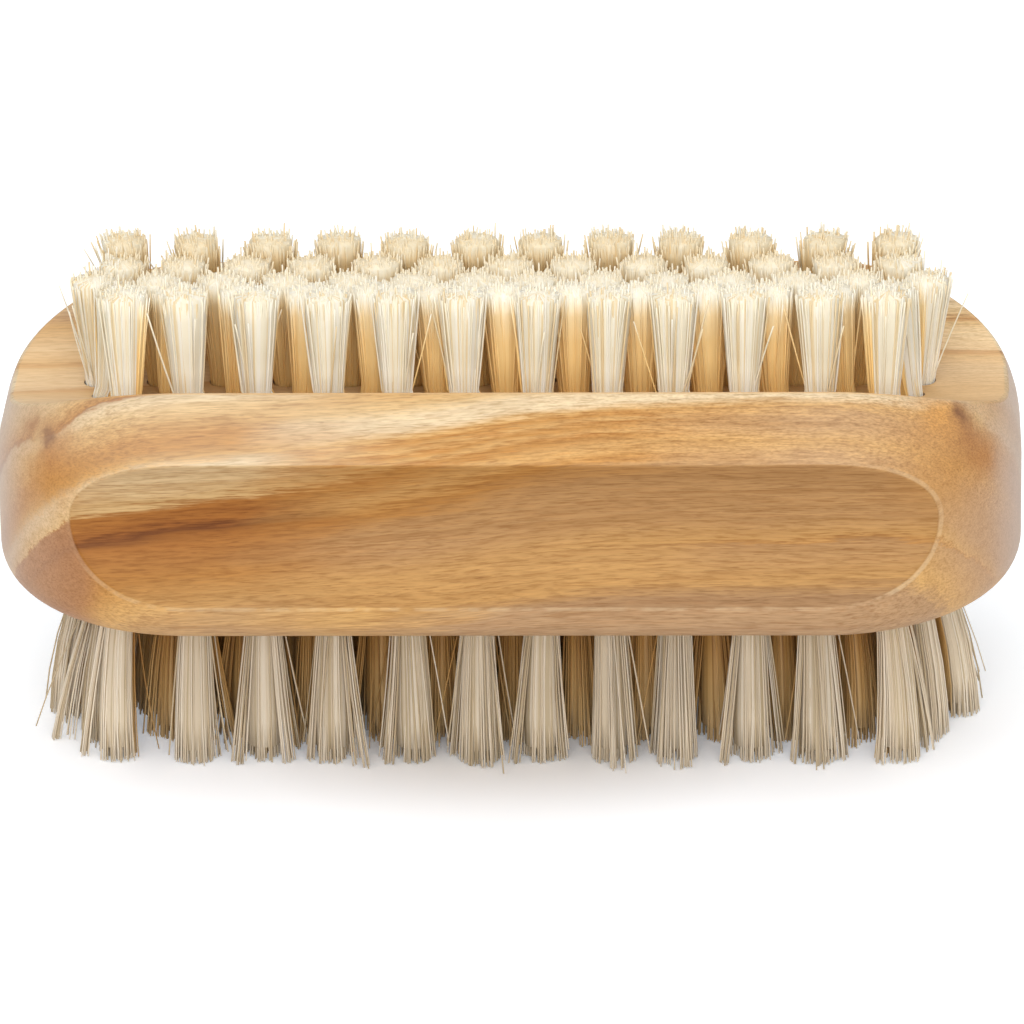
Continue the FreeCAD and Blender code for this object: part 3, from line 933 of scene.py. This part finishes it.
def build_camera():
    """Stands the camera so that the aim point falls on its pixel of the photograph."""
    data = bpy.data.cameras.new("camera")
    data.sensor_width = SENSOR
    focal = PIXELS_PER_METRE * EYE_DISTANCE
    data.lens = focal * SENSOR / PICTURE
    data.clip_start = NEAREST_SEEN
    data.clip_end = FARTHEST_SEEN
    camera = bpy.data.objects.new("camera", data)
    bpy.context.scene.collection.objects.link(camera)
    back = Vector((math.cos(EYE_ELEVATION) * math.sin(EYE_AZIMUTH),
                   -math.cos(EYE_ELEVATION) * math.cos(EYE_AZIMUTH), math.sin(EYE_ELEVATION)))
    turn = back.to_track_quat("Z", "Y").to_matrix()
    turn = turn @ Matrix.Rotation(-EYE_ROLL, 3, "Z")
    pitch = math.atan((PICTURE / 2 - AIM_PIXEL[1]) / focal)
    yaw = math.atan((PICTURE / 2 - AIM_PIXEL[0]) / focal)
    turn = turn @ Matrix.Rotation(-pitch, 3, "X") @ Matrix.Rotation(-yaw, 3, "Y")
    camera.matrix_world = Matrix.Translation(AIM + back * EYE_DISTANCE) @ turn.to_4x4()
    bpy.context.scene.camera = camera


# Soft lamps, in metres and watts: name, place, width, height and power. All point at the brush.
LAMPS = (
    ("key", (-0.1, -0.38, 0.95), 1.1, 0.9, 4.8),
    ("fill", (0.05, -1.1, 0.42), 0.9, 0.6, 6.7),
    ("back", (0.1, 0.95, 0.8), 1.0, 0.7, 1.8))
LAMP_AIM = (0.0, 0.0, 0.03)

# The floor and the world. The floor's glow goes by the distance from the brush, and is weak close to it so
# that the shadow shows; the fading glow also paints a soft shade round the brush.
FLOOR_HALF_SIZE = 6.0
FLOOR_WHITE = 0.95
FLOOR_GLOW = (
    (0.0, (0.085, 0.095, 0.105)),
    (0.014, (0.085, 0.095, 0.105)),
    (0.028, (0.26, 0.285, 0.315)),
    (0.06, (0.31, 0.34, 0.37)),
    (0.4, (0.55, 0.55, 0.55)))
WORLD_LIGHT = 0.54


def add_lamp(name, place, width, height, watts):
    data = bpy.data.lights.new(name, "AREA")
    data.shape = "RECTANGLE"
    data.size = width
    data.size_y = height
    data.energy = watts
    lamp = bpy.data.objects.new(name, data)
    bpy.context.scene.collection.objects.link(lamp)
    lamp.location = place
    lamp.rotation_mode = "QUATERNION"
    lamp.rotation_quaternion = (Vector(place) - Vector(LAMP_AIM)).to_track_quat("Z", "Y")


def seen_ray(tree):
    """1 for rays of the camera, of a reflection or through glass, and 0 for those that only carry light."""
    path = tree.nodes.new("ShaderNodeLightPath")
    result = path.outputs["Is Camera Ray"]
    for kind in ("Is Glossy Ray", "Is Transmission Ray"):
        either = tree.nodes.new("ShaderNodeMath")
        either.operation = "MAXIMUM"
        tree.links.new(result, either.inputs[0])
        tree.links.new(path.outputs[kind], either.inputs[1])
        result = either.outputs[0]
    return result


def build_floor():
    """A white floor that keeps the shadow and shows white where it is lit, with a glow to the eye that fades
    towards the brush and paints a soft shade round it.
    """
    size = FLOOR_HALF_SIZE
    mesh = bpy.data.meshes.new("floor")
    corners = [(-size, -size, 0), (size, -size, 0), (size, size, 0), (-size, size, 0)]
    mesh.from_pydata(corners, [], [(0, 1, 2, 3)])
    floor = bpy.data.objects.new("floor", mesh)
    bpy.context.scene.collection.objects.link(floor)
    g = Graph("floor_paper")
    tree = g.tree
    diffuse = g.add("ShaderNodeBsdfDiffuse")
    diffuse.inputs["Color"].default_value = (FLOOR_WHITE, FLOOR_WHITE, FLOOR_WHITE, 1.0)
    glow = g.add("ShaderNodeEmission")
    away = g.vector("DISTANCE", g.add("ShaderNodeNewGeometry").outputs["Position"], (0.0, 0.0, 0.0))
    far = FLOOR_GLOW[-1][0]
    stops = [(place / far, colour) for place, colour in FLOOR_GLOW]
    tree.links.new(g.ramp(g.math("DIVIDE", away, far), stops), glow.inputs["Color"])
    tree.links.new(seen_ray(tree), glow.inputs["Strength"])
    both = g.add("ShaderNodeAddShader")
    tree.links.new(diffuse.outputs[0], both.inputs[0])
    tree.links.new(glow.outputs[0], both.inputs[1])
    output = g.add("ShaderNodeOutputMaterial")
    tree.links.new(both.outputs[0], output.inputs["Surface"])
    mesh.materials.append(g.material)


def build_world():
    """White to the eye and in reflections, softer as a light."""
    world = bpy.data.worlds.new("studio")
    bpy.context.scene.world = world
    world.use_nodes = True
    tree = world.node_tree
    tree.nodes.clear()
    strength = tree.nodes.new("ShaderNodeMapRange")
    strength.inputs["To Min"].default_value = WORLD_LIGHT
    strength.inputs["To Max"].default_value = 1.0
    tree.links.new(seen_ray(tree), strength.inputs["Value"])
    sky = tree.nodes.new("ShaderNodeBackground")
    tree.links.new(strength.outputs[0], sky.inputs["Strength"])
    output = tree.nodes.new("ShaderNodeOutputWorld")
    tree.links.new(sky.outputs[0], output.inputs["Surface"])


# The short bristles on top, whose outer rows lean in, and the long ones below, which spread out.
UPPER_LOOK = Look(
    count=165, radius=0.088, base=1.3, tip=2.25, scatter=0.14, length_scatter=0.2,
    ruffle={1: 1.0, 2: 1.2, 3: 1.5, 4: 1.7, 5: 1.9},
    core_tip=2.2, core_short=0.14, core_dome=0.25, locks=0, lock_reach=0.0,
    strays=0.025, stray_reach=2.2, stray_length=0.75, inward=0.05, lean=-1.8, bow=1, wander=0.12,
    fan={1: 0.2, 2: -1.3, 3: 0.4, 4: -1.0, 5: 1.1},
    front_drift=(0.1, -0.6, -0.7, -0.4, -0.5, -0.7, -0.3, -0.2, -0.5, -0.4, 0.3, -0.2),
    dome=0.6, proud=0.03)
LOWER_LOOK = Look(
    count=165, radius=0.076, base=1.25, tip=1.95, scatter=0.14, length_scatter=0.12,
    ruffle={1: 1.0, 2: 1.0, 3: 1.0, 4: 1.0, 5: 1.0},
    core_tip=1.8, core_short=1.4, core_dome=0.4, locks=3, lock_reach=1.6,
    strays=0.05, stray_reach=2.2, stray_length=0.9, inward=-0.35, lean=1.4, bow=2, wander=0.25,
    fan={1: 1.0, 2: 2.0, 3: 3.5, 4: 2.0, 5: 1.0},
    front_drift=(-0.9, -0.5, -0.6, -0.4, 0.1, 0.4, 0.1, -0.3, -0.3, 0.1, -0.4, 0.0),
    lift=0.08)

UPPER_HAIR = Hair(
    name="upper_bristle_hair",
    open_shades=[(243, 225, 188), (252, 243, 221), (255, 253, 240), (255, 255, 252)],
    # The open bristles are lightest at the root: painted light against the shade there.
    open_tints=[(0.15, WHITE), (0.35, (0.93, 0.9, 0.85)), (0.55, (0.85, 0.8, 0.71)),
                (0.85, (0.85, 0.8, 0.71)), (0.96, (0.96, 0.91, 0.82))],
    # Bristles that face the brush's inside take the colours below, a painted golden shade, and the last two
    # tints are painted shade in the middle and at the back tips.
    inner_painted_shades=[(252, 241, 219), (255, 249, 234), (255, 253, 246)],
    inner_painted_shade_tints=[(0.12, (1.0, 0.74, 0.34)), (0.6, (1.0, 0.77, 0.41)), (0.8, (1.0, 0.84, 0.56)),
                 (0.93, (1.0, 0.98, 0.92))],
    middle_shade=(0.99, 0.99, 0.985, 1.0),
    back_shade=(0.85, 0.77, 0.63, 1.0))
LOWER_HAIR = Hair(
    name="lower_bristle_hair",
    open_shades=[(202, 182, 148), (217, 199, 168), (229, 213, 188), (245, 234, 215)],
    open_tints=[(0.12, (0.9, 0.85, 0.76)), (0.5, (0.92, 0.91, 0.9)), (0.85, WHITE)],
    # Bristles that face the brush's inside take the colours below, a painted dark golden shade, and the last
    # two tints are painted shade in the middle and at the back tips.
    inner_painted_shades=[(184, 156, 118), (216, 190, 150), (244, 224, 192)],
    inner_painted_shade_tints=[(0.12, (0.56, 0.33, 0.09)), (0.5, (0.64, 0.42, 0.17)), (0.8, (0.8, 0.66, 0.42)),
                 (0.95, (0.92, 0.84, 0.68))],
    middle_shade=(0.88, 0.87, 0.855, 1.0),
    back_shade=(0.9, 0.9, 0.9, 1.0))

build_camera()
build_world()
build_floor()
for lamp_settings in LAMPS:
    add_lamp(*lamp_settings)

dress("wood_block", wood_material())
metal = metal_material()
upper_hair = bristle_material(UPPER_HAIR)
lower_hair = bristle_material(LOWER_HAIR)
for row_number in ROWS:
    dress(f"upper_anchors_row_{row_number}", metal)
    dress(f"lower_anchors_row_{row_number}", metal)
    build_tufts("upper", row_number, upper_hair, UPPER_LOOK)
    build_tufts("lower", row_number, lower_hair, LOWER_LOOK)

bpy.context.scene.view_settings.view_transform = "Standard"
